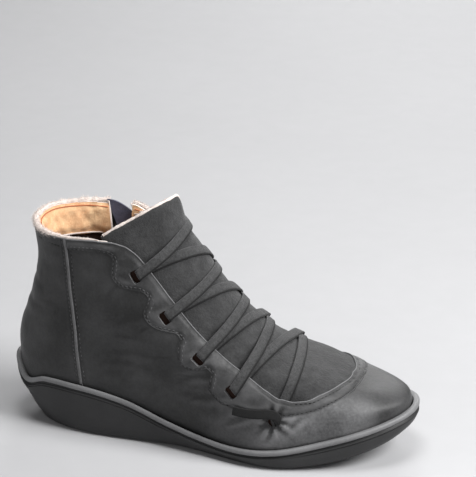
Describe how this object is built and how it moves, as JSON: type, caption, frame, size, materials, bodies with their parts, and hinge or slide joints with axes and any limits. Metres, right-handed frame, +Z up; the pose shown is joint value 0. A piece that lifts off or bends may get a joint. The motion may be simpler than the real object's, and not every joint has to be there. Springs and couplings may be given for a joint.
{
  "type": "lace-up ankle boot",
  "caption": "Right lace-up ankle boot: hollow leather upper on a cupsole, with tongue, flat zig-zag lace and a side zip with a hinged pull.",
  "frame": {"origin": "on the floor, in the middle of the flat spot under the heel", "axes": "+X toward the toe, +Y toward the inner side of the foot, +Z up"},
  "size_m": [0.272, 0.1003, 0.1533],
  "materials": {
    "rubber": "satin moulded rubber, dark grey",
    "leather": "soft nubuck-like leather, charcoal, dull sheen",
    "suede": "napped suede, grey charcoal",
    "webbing": "flat woven lace, dark grey",
    "felt": "brushed felt lining, speckled orange",
    "fleece": "cream fleece edge",
    "thread": "grey sewing thread",
    "zip_fabric": "woven zip tape, blue-black",
    "black_metal": "black enamelled metal, satin"
  },
  "bodies": {
    "boot": {"outsole": "rubber", "insole": "felt", "upper": "leather", "tongue": "suede", "lace": "webbing", "lace_knot": "webbing", "lace_end": "webbing", "zip_tape": "zip_fabric", "zip_guard": "zip_fabric", "zip_teeth": "black_metal", "zip_slider": "black_metal"},
    "zip_pull": {"zip_pull": "black_metal"}
  },
  "joints": [
    {"name": "zip_pull_hinge", "type": "hinge", "parent": "boot", "child": "zip_pull", "pos_m": [0.00933, 0.03454, 0.13181], "axis": [0.9438, 0.0687, 0.3232], "range_deg": [0, 150]}
  ]
}
